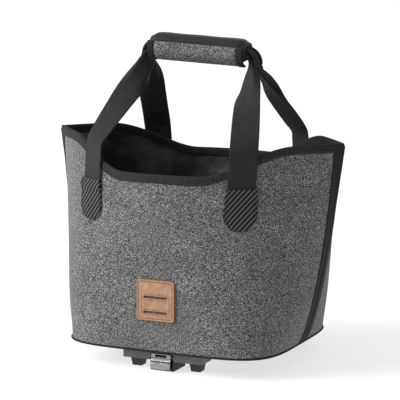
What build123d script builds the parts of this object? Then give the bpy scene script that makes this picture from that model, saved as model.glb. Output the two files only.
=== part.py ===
from build123d import *
import math
import os

# A soft bicycle basket: a fabric tote with two joined handles, and under its floor a quick-release
# adapter that clips onto the two cross tubes of a luggage rack.
# Millimetres. X runs along the mouth from side seam to side seam, -Y is the front, Z is up.
# Z = 0 is the ground that the adapter's feet and hooks stand on, and the origin is under the middle.

# Bag body. Heights are counted from the underside of the bag.
BASE_HALF_LENGTH = 160.0
BASE_HALF_WIDTH = 140.0
TIP_REACH = 223.0  # from the middle to a side seam's top
RIM_HALF_DEPTH = 137.0
TIP_HEIGHT = 293.0  # height of the mouth at the side seams
DIP_HEIGHT = 253.0  # height of the mouth at the middle
DIP_HALF_LENGTH = 59.0  # half of the level stretch of the mouth
TIP_START = 173.0  # where the mouth is level again, near a seam
FLARE = 0.65  # below 1, the ends lean out low down
SETTLE = 0.2  # how soon the square base turns into the pinched mouth
BASE_SQUARENESS = 7.0
MOUTH_ALONG = 1.95
MOUTH_ACROSS = 1.0
SEAM_SPREAD = 0.3  # extra offset along X where the walls meet at a slant

# Cloth and board
PANEL = 3.0  # foam-backed outer cloth
LINING = 1.2
LAYER_GAP = 0.2
PIPING = 3.0
PIPING_PROUD = 2.0
PIPING_WIDTH = 6.0
BASE_CLOTH = 2.0
BOARD = 4.0
BOARD_INSET = 6.0
BINDING = 1.2
BINDING_DROP = 12.0
BAND = 1.2
BAND_HALF_WIDTH = 15.0
SEAM_STRIP_HALF_WIDTH = 2.5

# Inner pocket on the back lining
POCKET_HALF_WIDTH = 75.0
POCKET_LOW = 95.0
POCKET_TOP = 205.0
POCKET_CLOTH = 1.0
POCKET_HEM = 12.0

# Handles
WEBBING_WIDTH = 40.0
WEBBING = 2.4
WEBBING_FOLDED_WIDTH = 22.0
HANDLE_X = 114.0  # where a strap meets its panel
ANCHOR_HEIGHT = 285.0  # the sewn part of a strap ends here
STRAP_PATCH_TOP = 236.0
STRAP_PATCH_LENGTH = 58.0
STRAP_PATCH_WIDTH = 48.0
STRAP_PATCH_TOP_WIDTH = 42.0
STRAP_PATCH = 3.0
LEG_RISE = 24.0  # how far a leg keeps its panel's lean
LEG_LIFT = 18.0  # how far below the bend it is already upright
LEG_BEND = {-1: 7.5, 1: 20.0}  # radius of a front or back strap where it bends out of the grip
LEG_TWIST = 2.6  # above 1, the turn comes near the grip
LEG_FOLD_START = 0.45
STRAP_REST = 0.5  # between a sewn strap and the binding it crosses
STRAP_SPACE = 0.4  # between the two folded straps in the grip
GRIP_HEIGHT_ABOVE_BASE = 418.0
GRIP_SHIFT = 3.0
GRIP_TILT = 2.2  # the joined handles lean a little to the right
GRIP_LENGTH = 148.0
PAD_DEPTH = 36.0
PAD_HEIGHT = 34.0
PAD_CORNER = 14.0
TAPE = 1.0
TAPE_GAP = 0.6
TAPE_HALF_LENGTH = 60.0
TAPE_INSET = 2.0  # from the flap's top edge
FLAP = 2.6
FLAP_TOP = 6.0
FLAP_HINGE_Y = -6.0
FLAP_END = 9.0
FLAP_END_PROUD = 0.6

# Leather patch with two slots for a clip-on rear light
LEATHER_SIZE = 59.0
LEATHER = 2.5
LEATHER_CORNER = 5.0
LEATHER_X = -2.0
LEATHER_MIDDLE = 75.5  # height of its centre
SLOT_LENGTH = 36.0
SLOT_WIDTH = 3.0
SLOT_SPACING = 21.5
SLOT_DROP = 6.5
LEATHER_STANDOFF = 1.0  # at the middle, so that the flat patch clears the wall's curve

# Rack adapter. Heights are above the ground.
BASE_Z = 29.0
PLATE_HALF_WIDTH = 62.0
PLATE_FRONT = -125.0
PLATE_BACK = 62.0
PLATE = 5.0
PLATE_CORNER = 3.0
RIB = 4.0
RIB_BOTTOM = 20.4
BEAM_DEPTH = 12.0
BEAM_BOTTOM = 14.5
BEAM_SIDE_DEPTH = 32.0  # how far the beam runs back along the plate's sides
FOOT_X = 46.0
FOOT_TOP = (21.0, 20.0)
FOOT_FOOTPRINT = (14.0, 14.0)
FOOT_SETBACK = 11.0
TUBE_RADIUS = 5.0
TUBE_CLEARANCE = 0.2
TUBE_Z = 14.4
REAR_TUBE_Y = 40.4
RACK_TUBE_SPACING = 114.0
HOOK_WIDTH = 20.0
HOOK_WALL = 6.4
SCREW_X = 40.0
SCREW_Y = (-88.0, 20.0)
SCREW_RADIUS = 2.5
SCREW_CLEARANCE = 0.25
HEAD_RADIUS = 4.6
HEAD = 2.6
SOCKET_RADIUS = 2.0
INSERT_RADIUS = 3.6
INSERT_FLANGE_RADIUS = 7.0
INSERT_FLANGE = 1.0
FIT = 0.05

# Latch. The lever hangs on a pin in its housing and draws the bolt forward.
HOUSING_HALF_WIDTH = 18.0
HOUSING_WALL = 2.5
HOUSING_FRONT = -124.0
HOUSING_BACK = -85.0
HOUSING_FLOOR = 3.0
CAVITY_BACK = -108.0
LEVER_HALF_WIDTH = 15.0
LEVER_TOP = 24.5
LEVER_ROOM_TOP = 26.5
LEVER_WINDOW = (18.0, 3.6)
LEVER_WINDOW_Z = 21.8
PIVOT_Y = -123.0
PIVOT_Z = 19.5
PIN_RADIUS = 1.5
EAR_X = 12.5
EAR = 2.5
EAR_RADIUS = 3.0
LEVER_FACE_Y = -128.0
LEVER_LIP_Y = -132.0
LEVER_SHEET = 2.0
LEVER_SHELF_TOP = 19.6
LEVER_SHELF_UNDER = 15.4
LEVER_BOTTOM = 3.0
RIDGE = 1.2
RIDGE_HEIGHTS = (13.8, 10.8)
ARM_INSET = 2.0
ARM_HEIGHTS = (6.6, 8.8)
BOLT_HALF_WIDTH = 7.0
BOLT_BOTTOM = 5.4
BOLT_TOP = 9.0
BOLT_FRONT = -118.4
BOLT_GAP = 0.4
BOLT_BITE = 4.9  # how far the bolt reaches under the front tube
SPRING_RADIUS = 2.25
SPRING_WIRE = 0.25
SPRING_HALF_LENGTH = 8.0
SPRING_TURNS = 10

REACH = 400.0  # larger than the object, for cutting
DRILL_LENGTH = 100.0  # longer than any hole
OUTLINE_STEPS = 10
WALL_LEVELS = (25.0, 80.0, 150.0, 220.0)
SEWN_STATIONS = 5
LEG_STATIONS = 12
BEND_STATIONS = 5


def blend(low, high, share):
    return low + (high - low) * share


def smooth(share):
    share = min(max(share, 0.0), 1.0)
    return share * share * (3 - 2 * share)


# ---- The bag's wall, as one formula ----


def outline(height, out):
    """Half length, half depth and the two exponents of the outline at a height above the base."""
    rise = max(height, 0.0) / TIP_HEIGHT
    length = blend(BASE_HALF_LENGTH, TIP_REACH, rise**FLARE) + out * (1 + SEAM_SPREAD * rise)
    depth = blend(BASE_HALF_WIDTH, RIM_HALF_DEPTH, rise) + out
    pinch = rise**SETTLE
    along = blend(BASE_SQUARENESS, MOUTH_ALONG, pinch)
    across = blend(BASE_SQUARENESS, MOUTH_ACROSS, pinch)
    return length, depth, along, across


def half_outline(height, side, out):
    """Points of the front (side -1) or back (side 1) wall, from the left seam to the right seam."""
    length, depth, along, across = outline(height, out)
    quarter = []
    for step in range(OUTLINE_STEPS + 1):
        angle = 45 * (1 - math.cos(math.pi * step / OUTLINE_STEPS))
        x = length * math.sin(math.radians(90 - angle)) ** (2 / along)
        y = depth * math.sin(math.radians(angle)) ** (2 / across)
        quarter.append((x, y))
    left = [(-x, y) for x, y in quarter]
    right = quarter[-2::-1]
    return [Vector(x, side * y, BASE_Z + height) for x, y in left + right]


def wall_point(x, height, side, out=0.0):
    """The point of the front or back wall at a given x and height."""
    length, depth, along, across = outline(height, out)
    y = depth * (1 - abs(x / length) ** along) ** (1 / across)
    return Vector(x, side * y, BASE_Z + height)


def wall_frame(x, height, side):
    """A wall point with the level tangent, the upward tangent and the outward normal there."""
    step = 0.5
    here = wall_point(x, height, side)
    level = (wall_point(x + step, height, side) - wall_point(x - step, height, side)).normalized()
    up = (wall_point(x, height + step, side) - wall_point(x, height - step, side)).normalized()
    normal = level.cross(up).normalized() * -side
    return here, level, up, normal


def half_shell(side, outer, inner):
    """The front or back half of the wall between two offsets, from the piping up to the tips."""
    rings = []
    for height in (PIPING, *WALL_LEVELS, TIP_HEIGHT):
        outside = half_outline(height, side, outer)
        inside = half_outline(height, side, inner)
        rings.append(
            Wire(
                [
                    Edge.make_spline(outside),
                    Edge.make_line(outside[-1], inside[-1]),
                    Edge.make_spline(inside[::-1]),
                    Edge.make_line(inside[0], outside[0]),
                ]
            )
        )
    return Solid.make_loft(rings)


def base_sheet(out, height, thickness):
    """A flat plate with the outline of the wall's lower edge, from a height above the base upwards."""
    front = half_outline(PIPING, -1, out)
    back = half_outline(PIPING, 1, out)
    face = Face(Wire([Edge.make_spline(front), Edge.make_spline(back[::-1])]))
    return extrude(face.moved(Location((0, 0, height - PIPING))), thickness, (0, 0, 1))


def above_mouth(drop):
    """Everything above the mouth's edge lowered by drop."""
    dip = BASE_Z + DIP_HEIGHT - drop
    tip = BASE_Z + TIP_HEIGHT - drop
    third = (TIP_START - DIP_HALF_LENGTH) / 3
    rise = [
        (DIP_HALF_LENGTH, dip),
        (DIP_HALF_LENGTH + third, dip),
        (TIP_START - third, tip),
        (TIP_START, tip),
    ]
    fall = [(-x, z) for x, z in reversed(rise)]
    edges = [
        Line((-REACH, tip), fall[0]),
        Bezier(*fall),
        Line(fall[-1], rise[0]),
        Bezier(*rise),
        Line(rise[-1], (REACH, tip)),
        Line((REACH, tip), (REACH, tip + REACH)),
        Line((REACH, tip + REACH), (-REACH, tip + REACH)),
        Line((-REACH, tip + REACH), (-REACH, tip)),
    ]
    profile = Plane.XZ * make_face(Wire([line.edge() for line in edges]))
    return extrude(profile, REACH, both=True)


def box(x, y, z):
    """A box from three (low, high) pairs."""
    middle = Pos((x[0] + x[1]) / 2, (y[0] + y[1]) / 2, (z[0] + z[1]) / 2)
    return middle * Box(x[1] - x[0], y[1] - y[0], z[1] - z[0])


def make_bag():
    nodes = {}
    floor = BASE_CLOTH + BOARD
    lining_outer = -PANEL - LAYER_GAP
    lining_inner = lining_outer - LINING
    bound = above_mouth(BINDING)
    unbound = above_mouth(BINDING_DROP)
    open_mouth = above_mouth(0.0)

    inside_piping = PIPING_PROUD - PIPING_WIDTH
    piping_hole = base_sheet(inside_piping, 0.0, PIPING)
    nodes["bottom_piping"] = base_sheet(PIPING_PROUD, 0.0, PIPING) - piping_hole
    holes = [Pos(x, y, BASE_Z) * Cylinder(INSERT_RADIUS + FIT, REACH) for x, y in screw_places()]
    nodes["base_panel"] = base_sheet(inside_piping, 0.0, BASE_CLOTH) - holes
    recess = [
        Pos(x, y, BASE_Z + floor - INSERT_FLANGE / 2) * Cylinder(INSERT_FLANGE_RADIUS + FIT, INSERT_FLANGE)
        for x, y in screw_places()
    ]
    nodes["base_board"] = base_sheet(-BOARD_INSET, BASE_CLOTH, BOARD) - holes - recess

    walls = {}
    for name, side in (("front", -1), ("back", 1)):
        walls[name] = half_shell(side, 0.0, -PANEL) - bound
        nodes[f"{name}_panel"] = walls[name]
    lining = base_sheet((lining_outer + lining_inner) / 2, floor, LINING)
    below_floor = box((-REACH, REACH), (-REACH, REACH), (0, BASE_Z + floor))
    for side in (-1, 1):
        lining += half_shell(side, lining_outer, lining_inner) - bound - below_floor
    nodes["lining"] = lining

    for name, side in (("front", -1), ("back", 1)):
        fold = half_shell(side, BINDING, lining_inner - BINDING)
        nodes[f"rim_binding_{name}"] = (fold - open_mouth) & unbound
        nodes[f"rim_binding_{name}"] -= [walls[name], lining]

    band_layer = wrap(LAYER_GAP, LAYER_GAP + BAND, BAND_HALF_WIDTH) - unbound
    strip_inner = 2 * LAYER_GAP + BAND
    strip_layer = wrap(strip_inner, strip_inner + BAND, SEAM_STRIP_HALF_WIDTH) - unbound
    for name, reach in (("left", (-REACH, 0)), ("right", (0, REACH))):
        end_half = box(reach, (-REACH, REACH), (0, REACH))
        nodes[f"side_band_{name}"] = band_layer & end_half
        nodes[f"seam_strip_{name}"] = strip_layer & end_half

    pocket_outer = lining_inner - LAYER_GAP
    pocket = half_shell(1, pocket_outer, pocket_outer - POCKET_CLOTH)
    width = (-POCKET_HALF_WIDTH, POCKET_HALF_WIDTH)
    bottom = BASE_Z + POCKET_LOW
    top = BASE_Z + POCKET_TOP
    nodes["inner_pocket"] = pocket & box(width, (0, REACH), (bottom, top - POCKET_HEM))
    nodes["pocket_hem"] = pocket & box(width, (0, REACH), (top - POCKET_HEM, top))
    return nodes


def wrap(inner, outer, half_width):
    """A layer over both walls, kept near the two side seams."""
    near_seams = box((-REACH, REACH), (-half_width, half_width), (0, REACH))
    near_seams -= box((-BASE_HALF_LENGTH / 2, BASE_HALF_LENGTH / 2), (-REACH, REACH), (0, REACH))
    front = half_shell(-1, outer, inner) & near_seams
    back = half_shell(1, outer, inner) & near_seams
    return front + back


# ---- Straps and their patches ----


def ribbon(stations):
    """A flat strap through stations of (centre, width direction, face direction, width, thickness)."""
    wires = []
    for centre, across, face, width, thickness in stations:
        half = across * (width / 2)
        lift = face * (thickness / 2)
        corners = [centre - half - lift, centre + half - lift, centre + half + lift, centre - half + lift]
        wires.append(Wire.make_polygon(corners, close=True))
    return Solid.make_loft(wires, ruled=True)


def strap_offset():
    """From the wall to the middle of a strap that lies on the rim binding."""
    return BINDING + STRAP_REST + WEBBING / 2


def sewn_strap(end, side):
    """The lower part of a strap, which lies on its panel and ends above the mouth."""
    stations = []
    for step in range(SEWN_STATIONS + 1):
        height = blend(STRAP_PATCH_TOP, ANCHOR_HEIGHT, step / SEWN_STATIONS)
        here, level, up, normal = wall_frame(end * HANDLE_X, height, side)
        stations.append((here + normal * strap_offset(), level, normal, WEBBING_WIDTH, WEBBING))
    return ribbon(stations)


def grip_place():
    return Location((GRIP_SHIFT, 0, BASE_Z + GRIP_HEIGHT_ABOVE_BASE), (0, GRIP_TILT, 0))


def layer_height(side):
    """The back strap lies on the front strap inside the grip."""
    return side * (WEBBING + STRAP_SPACE / 2)


def bezier(points, share):
    rest = 1 - share
    a, b, c, d = points
    place = a * rest**3 + b * (3 * rest**2 * share) + c * (3 * rest * share**2) + d * share**3
    heading = (b - a) * (3 * rest**2) + (c - b) * (6 * rest * share) + (d - c) * (3 * share**2)
    return place, heading.normalized()


def free_leg(end, side):
    """The free leg of a strap: it turns as it rises, and bends over into the end of the grip."""
    here, level, up, normal = wall_frame(end * HANDLE_X, ANCHOR_HEIGHT, side)
    start = here + normal * strap_offset()
    tilt = math.radians(GRIP_TILT)
    outward = Vector(math.cos(tilt), 0, -math.sin(tilt)) * end
    grip_up = Vector(math.sin(tilt), 0, math.cos(tilt))
    grip_end = grip_place().position + outward * (GRIP_LENGTH / 2)
    radius = LEG_BEND[side]
    pivot = grip_end + grip_up * (layer_height(side) - radius)
    bend_start = pivot + outward * radius
    points = [start, start + up * LEG_RISE, bend_start - grip_up * LEG_LIFT, bend_start]
    first_turn = math.degrees(math.atan2(level.Y, level.X))
    last_turn = -90.0 * end
    stations = [(start, level, level.cross(up).normalized(), WEBBING_WIDTH, WEBBING)]
    for step in range(1, LEG_STATIONS):
        share = step / LEG_STATIONS
        place, heading = bezier(points, share)
        turn = math.radians(first_turn * (1 - share) ** 2 + last_turn * share**LEG_TWIST)
        across = Vector(math.cos(turn), math.sin(turn), 0)
        across = (across - heading * across.dot(heading)).normalized()
        fold = smooth((share - LEG_FOLD_START) / (1 - LEG_FOLD_START))
        width = blend(WEBBING_WIDTH, WEBBING_FOLDED_WIDTH, fold)
        thickness = blend(WEBBING, 2 * WEBBING, fold)
        stations.append((place, across, across.cross(heading).normalized(), width, thickness))
    across = Vector(0, -end, 0)
    for step in range(BEND_STATIONS + 1):
        angle = math.radians(90 * step / BEND_STATIONS)
        spoke = outward * math.cos(angle) + grip_up * math.sin(angle)
        stations.append((pivot + spoke * radius, across, spoke * -1, WEBBING_FOLDED_WIDTH, 2 * WEBBING))
    return ribbon(stations)


def strap_patch(end, side, layer):
    """A patch with a rounded lower end over the foot of a strap, cut from a layer on the wall."""
    here, level, up, normal = wall_frame(end * HANDLE_X, STRAP_PATCH_TOP - STRAP_PATCH_LENGTH / 2, side)
    plane = Plane(origin=here, x_dir=level, z_dir=normal)
    half = STRAP_PATCH_WIDTH / 2
    top = STRAP_PATCH_LENGTH / 2
    waist = -top + half
    shape = Polyline(
        (-half, waist),
        (-STRAP_PATCH_TOP_WIDTH / 2, top),
        (STRAP_PATCH_TOP_WIDTH / 2, top),
        (half, waist),
    )
    bottom = ThreePointArc((half, waist), (0, waist - half), (-half, waist))
    upright = Rot(0, 0, 0 if plane.y_dir.Z > 0 else 180)
    face = plane * upright * make_face(shape.edges() + [bottom.edge()])
    return layer & extrude(face, STRAP_PATCH_LENGTH / 2, both=True)


def make_handles():
    nodes = {}
    for side_name, side in (("front", -1), ("back", 1)):
        layer = half_shell(side, LAYER_GAP + STRAP_PATCH, LAYER_GAP)
        for end_name, end in (("left", -1), ("right", 1)):
            place = f"{side_name}_{end_name}"
            nodes[f"strap_patch_{place}"] = strap_patch(end, side, layer)
            nodes[f"sewn_strap_{place}"] = sewn_strap(end, side)
            nodes[f"strap_leg_{place}"] = free_leg(end, side)
    return nodes


# ---- Grip: a padded sleeve round both straps, closed by a flap ----


def grip_section(out):
    return RectangleRounded(PAD_DEPTH + 2 * out, PAD_HEIGHT + 2 * out, PAD_CORNER + out)


def grip_bar(out, half_length):
    """The grip's rounded section grown by out, along the grip."""
    section = Plane(origin=(-half_length, 0, 0), x_dir=(0, 1, 0), z_dir=(1, 0, 0)) * grip_section(out)
    return extrude(section, 2 * half_length, (1, 0, 0))


def grip_layer(inner, outer, half_length, y, z):
    """A layer round the front of the grip, kept inside a range of y and z."""
    layer = grip_bar(outer, half_length) - grip_bar(inner, half_length)
    return layer & box((-half_length, half_length), y, z)


def make_grip():
    half = GRIP_LENGTH / 2
    nodes = {}
    strap = {}
    for name, side in (("front", -1), ("back", 1)):
        middle = layer_height(side)
        strap[name] = box(
            (-half, half),
            (-WEBBING_FOLDED_WIDTH / 2, WEBBING_FOLDED_WIDTH / 2),
            (middle - WEBBING, middle + WEBBING),
        )
        nodes[f"strap_middle_{name}"] = strap[name]
    slot_y = WEBBING_FOLDED_WIDTH / 2 + LAYER_GAP
    slot_z = 2 * WEBBING + STRAP_SPACE / 2 + LAYER_GAP
    slot = box((-half, half), (-slot_y, slot_y), (-slot_z, slot_z))
    nodes["grip_pad"] = grip_bar(0.0, half) - slot

    tape_y = (-REACH, -PAD_DEPTH / 4)
    tape_z = ((PAD_CORNER - PAD_HEIGHT) / 2, FLAP_TOP - TAPE_INSET)
    nodes["hook_tape"] = grip_layer(FIT, TAPE, TAPE_HALF_LENGTH, tape_y, tape_z)
    loop = TAPE + TAPE_GAP
    nodes["loop_tape"] = grip_layer(loop, loop + TAPE - FIT, TAPE_HALF_LENGTH, tape_y, tape_z)
    inner = loop + TAPE
    outer = inner + FLAP
    flap_y = (-REACH, FLAP_HINGE_Y)
    flap_z = (-REACH, FLAP_TOP)
    nodes["grip_flap"] = grip_layer(inner, outer, half - FLAP_END, flap_y, flap_z)
    full = grip_layer(inner, outer + FLAP_END_PROUD, half, flap_y, flap_z)
    for name, reach in (("left", (-half, FLAP_END - half)), ("right", (half - FLAP_END, half))):
        nodes[f"flap_binding_{name}"] = full & box(reach, (-REACH, REACH), (-REACH, REACH))
    return {name: grip_place() * solid for name, solid in nodes.items()}


# ---- Leather patch ----


def make_leather_patch():
    here, level, up, normal = wall_frame(LEATHER_X, LEATHER_MIDDLE, -1)
    plane = Plane(origin=here + normal * (LAYER_GAP + LEATHER_STANDOFF), x_dir=level, z_dir=normal)
    outline_shape = RectangleRounded(LEATHER_SIZE, LEATHER_SIZE, LEATHER_CORNER)
    slots = [
        Pos(0, y - SLOT_DROP) * SlotOverall(SLOT_LENGTH, SLOT_WIDTH)
        for y in (-SLOT_SPACING / 2, SLOT_SPACING / 2)
    ]
    return {"light_holder_patch": extrude(plane * (outline_shape - slots), LEATHER)}


# ---- Rack adapter ----


def screw_places():
    return [(x, y) for x in (-SCREW_X, SCREW_X) for y in SCREW_Y]


def across_x(radius, x, y, z):
    """A round bar along X."""
    return Pos((x[0] + x[1]) / 2, y, z) * Rot(0, 90, 0) * Cylinder(radius, x[1] - x[0])


def make_adapter():
    """The ribbed plate with its front beam, front feet and rear hooks."""
    slab_bottom = BASE_Z - PLATE
    width = (-PLATE_HALF_WIDTH, PLATE_HALF_WIDTH)
    beam_back = PLATE_FRONT + BEAM_DEPTH
    middle = (PLATE_FRONT + PLATE_BACK) / 2
    shape = Pos(0, middle) * RectangleRounded(
        2 * PLATE_HALF_WIDTH, PLATE_BACK - PLATE_FRONT, PLATE_CORNER
    )
    block = Pos(0, 0, BEAM_BOTTOM) * extrude(shape, BASE_Z - BEAM_BOTTOM)
    beam = block & box(width, (PLATE_FRONT, beam_back), (BEAM_BOTTOM, BASE_Z))
    side_y = (beam_back, PLATE_FRONT + BEAM_SIDE_DEPTH)
    for side_x in ((width[0], width[0] + RIB), (width[1] - RIB, width[1])):
        beam += box(side_x, side_y, (BEAM_BOTTOM, RIB_BOTTOM))
    plate = block & box(width, (beam_back, PLATE_BACK), (RIB_BOTTOM, BASE_Z))
    inside = (width[0] + RIB, width[1] - RIB)
    plate -= box(inside, (beam_back, PLATE_BACK - RIB), (RIB_BOTTOM, slab_bottom))
    for x in (-FOOT_X / 2, FOOT_X / 2):
        rib_x = (x - RIB / 2, x + RIB / 2)
        plate += box(rib_x, (beam_back, PLATE_BACK - RIB), (RIB_BOTTOM, slab_bottom))
    for y in (PLATE_FRONT / 2, 0.0):
        plate += box(inside, (y - RIB / 2, y + RIB / 2), (RIB_BOTTOM, slab_bottom))
    boss = slab_bottom - RIB_BOTTOM
    for x, y in screw_places():
        plate += Pos(x, y, RIB_BOTTOM + boss / 2) * Cylinder(HEAD_RADIUS + RIB / 2, boss)
    latch_x = (-HOUSING_HALF_WIDTH, HOUSING_HALF_WIDTH)
    latch = box(latch_x, (PLATE_FRONT - FIT, HOUSING_BACK), (0, slab_bottom))
    room = LEVER_HALF_WIDTH + BOLT_GAP
    latch += box((-room, room), (PLATE_FRONT - FIT, CAVITY_BACK), (slab_bottom, LEVER_ROOM_TOP))
    plate -= latch
    for x, y in screw_places():
        plate -= Pos(x, y, BASE_Z) * Cylinder(SCREW_RADIUS + SCREW_CLEARANCE, DRILL_LENGTH)
        head_room = Cylinder(HEAD_RADIUS + SCREW_CLEARANCE, DRILL_LENGTH)
        plate -= Pos(x, y, slab_bottom - DRILL_LENGTH / 2) * head_room
    nodes = {"adapter_plate": plate, "front_beam": beam - latch}
    for name, end in (("left", -1), ("right", 1)):
        nodes[f"front_foot_{name}"] = front_foot(end) - beam
        nodes[f"rear_hook_{name}"] = rear_hook(end) - plate
    return nodes


def front_foot(end):
    """A tapered foot under the front beam."""
    top_y = PLATE_FRONT + FOOT_SETBACK + FOOT_TOP[1] / 2
    top = Pos(end * FOOT_X, top_y, RIB_BOTTOM) * Rectangle(*FOOT_TOP)
    bottom = Pos(end * FOOT_X, top_y, 0) * Rectangle(*FOOT_FOOTPRINT)
    return loft([bottom, top])


def rear_hook(end):
    """A hook that is open to the front and takes the rear tube of the rack."""
    radius = TUBE_RADIUS + TUBE_CLEARANCE
    x = (end * FOOT_X - HOOK_WIDTH / 2, end * FOOT_X + HOOK_WIDTH / 2)
    block = box(x, (REAR_TUBE_Y - radius, REAR_TUBE_Y + radius + HOOK_WALL), (0, BASE_Z - PLATE))
    seat = across_x(radius, x, REAR_TUBE_Y, TUBE_Z)
    mouth = box(x, (REAR_TUBE_Y - 2 * radius, REAR_TUBE_Y), (TUBE_Z - radius, TUBE_Z + radius))
    return block - seat - mouth


def make_fasteners():
    """Four screws from below into flanged inserts that sit flush in the base board."""
    screws = []
    inserts = []
    slab_bottom = BASE_Z - PLATE
    top = BASE_Z + BASE_CLOTH + BOARD
    for x, y in screw_places():
        shank = Pos(x, y, (slab_bottom + top) / 2) * Cylinder(SCREW_RADIUS, top - slab_bottom)
        head = Pos(x, y, slab_bottom - HEAD / 2) * Cylinder(HEAD_RADIUS, HEAD)
        head -= Pos(x, y, slab_bottom - HEAD) * extrude(RegularPolygon(SOCKET_RADIUS, 6), HEAD / 2)
        screws.append(shank + head)
        barrel = Pos(x, y, (BASE_Z + top) / 2) * Cylinder(INSERT_RADIUS, top - BASE_Z)
        flange = Pos(x, y, top - INSERT_FLANGE / 2) * Cylinder(INSERT_FLANGE_RADIUS, INSERT_FLANGE)
        bore = Pos(x, y, BASE_Z) * Cylinder(SCREW_RADIUS + FIT, DRILL_LENGTH)
        inserts.append(barrel + flange - bore)
    return {"adapter_screws": Compound(screws), "board_inserts": Compound(inserts)}


def make_latch():
    nodes = {}
    housing_top = BASE_Z - PLATE
    wide = (-HOUSING_HALF_WIDTH + FIT, HOUSING_HALF_WIDTH - FIT)
    housing = box(wide, (HOUSING_FRONT, HOUSING_BACK - FIT), (0, housing_top))
    room = HOUSING_HALF_WIDTH - HOUSING_WALL
    housing -= box((-room, room), (HOUSING_FRONT, CAVITY_BACK), (HOUSING_FLOOR, housing_top))
    slide = BOLT_HALF_WIDTH + BOLT_GAP
    slide_z = (BOLT_BOTTOM - BOLT_GAP, BOLT_TOP + BOLT_GAP)
    housing -= box((-slide, slide), (CAVITY_BACK, HOUSING_BACK), slide_z)
    bore = across_x(PIN_RADIUS, wide, PIVOT_Y, PIVOT_Z)
    nodes["latch_housing"] = housing - bore
    nodes["lever_pin"] = bore

    face = LEVER_FACE_Y
    lip = LEVER_LIP_Y
    back = face + LEVER_SHEET
    profile = Polyline(
        (face, LEVER_TOP),
        (face, LEVER_SHELF_TOP),
        (lip + RIDGE, RIDGE_HEIGHTS[0] + RIDGE),
        (lip, RIDGE_HEIGHTS[0]),
        (lip + RIDGE, (RIDGE_HEIGHTS[0] + RIDGE_HEIGHTS[1]) / 2),
        (lip, RIDGE_HEIGHTS[1]),
        (lip, LEVER_BOTTOM + LEVER_SHEET),
        (lip + LEVER_SHEET, LEVER_BOTTOM),
        (face, LEVER_BOTTOM),
        (face, LEVER_SHELF_UNDER),
        (back, LEVER_SHELF_UNDER + LEVER_SHEET),
        (back, LEVER_TOP),
        close=True,
    )
    section = Plane(origin=(-LEVER_HALF_WIDTH, 0, 0), x_dir=(0, 1, 0), z_dir=(1, 0, 0))
    lever = extrude(section * make_face(profile), 2 * LEVER_HALF_WIDTH, (1, 0, 0))
    window_x = LEVER_WINDOW[0] / 2
    window_z = LEVER_WINDOW[1] / 2
    window_range = (LEVER_WINDOW_Z - window_z, LEVER_WINDOW_Z + window_z)
    lever -= box((-window_x, window_x), (lip, PIVOT_Y), window_range)
    for x in (-EAR_X, EAR_X):
        ear_x = (x - EAR / 2, x + EAR / 2)
        ear = box(ear_x, (back, PIVOT_Y), (PIVOT_Z - EAR_RADIUS, PIVOT_Z + EAR_RADIUS))
        ear += across_x(EAR_RADIUS, ear_x, PIVOT_Y, PIVOT_Z)
        lever += ear - across_x(PIN_RADIUS + FIT, ear_x, PIVOT_Y, PIVOT_Z)
    arm_half = BOLT_HALF_WIDTH - ARM_INSET
    lever += box((-arm_half, arm_half), (face, BOLT_FRONT - BOLT_GAP), ARM_HEIGHTS)
    nodes["release_lever"] = lever

    front_tube_y = REAR_TUBE_Y - RACK_TUBE_SPACING
    nose = front_tube_y - TUBE_RADIUS + BOLT_BITE
    bolt = box((-BOLT_HALF_WIDTH, BOLT_HALF_WIDTH), (BOLT_FRONT, nose), (BOLT_BOTTOM, BOLT_TOP))
    nodes["latch_bolt"] = bolt

    pitch = 2 * SPRING_HALF_LENGTH / SPRING_TURNS
    path = Helix(pitch, 2 * SPRING_HALF_LENGTH, SPRING_RADIUS)
    wire_section = Plane(origin=path @ 0, z_dir=path % 0) * Circle(SPRING_WIRE)
    coil = sweep(wire_section, path)
    nodes["lever_spring"] = Pos(-SPRING_HALF_LENGTH, PIVOT_Y, PIVOT_Z) * Rot(0, 90, 0) * coil
    return nodes


def write_part():
    os.makedirs("parts", exist_ok=True)
    nodes = {}
    nodes.update(make_bag())
    nodes.update(make_handles())
    nodes.update(make_grip())
    nodes.update(make_leather_patch())
    nodes.update(make_adapter())
    nodes.update(make_fasteners())
    nodes.update(make_latch())
    for name, shape in nodes.items():
        export_step(shape, f"parts/{name}.step")


write_part()
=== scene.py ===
import math

import bmesh
import bpy
import numpy as np
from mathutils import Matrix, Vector


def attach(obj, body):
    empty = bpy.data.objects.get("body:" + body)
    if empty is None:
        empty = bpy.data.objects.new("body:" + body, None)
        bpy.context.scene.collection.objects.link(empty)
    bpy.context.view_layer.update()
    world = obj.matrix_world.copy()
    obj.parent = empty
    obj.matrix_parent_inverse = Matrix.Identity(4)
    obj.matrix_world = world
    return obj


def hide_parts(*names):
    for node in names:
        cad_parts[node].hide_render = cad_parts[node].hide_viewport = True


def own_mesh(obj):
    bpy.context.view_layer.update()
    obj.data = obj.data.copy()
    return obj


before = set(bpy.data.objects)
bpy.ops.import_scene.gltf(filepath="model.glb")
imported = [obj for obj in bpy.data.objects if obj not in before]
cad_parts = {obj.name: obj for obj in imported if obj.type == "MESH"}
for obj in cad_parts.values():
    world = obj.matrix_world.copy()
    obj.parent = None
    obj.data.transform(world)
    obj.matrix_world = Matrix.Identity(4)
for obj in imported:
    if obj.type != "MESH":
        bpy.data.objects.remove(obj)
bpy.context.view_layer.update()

# A soft bicycle basket with two joined handles and a rack adapter under its floor.
# Lengths here are millimetres, and a mesh is made in metres by MM.
MM = 0.001
BASE_Z = 29.0

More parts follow.
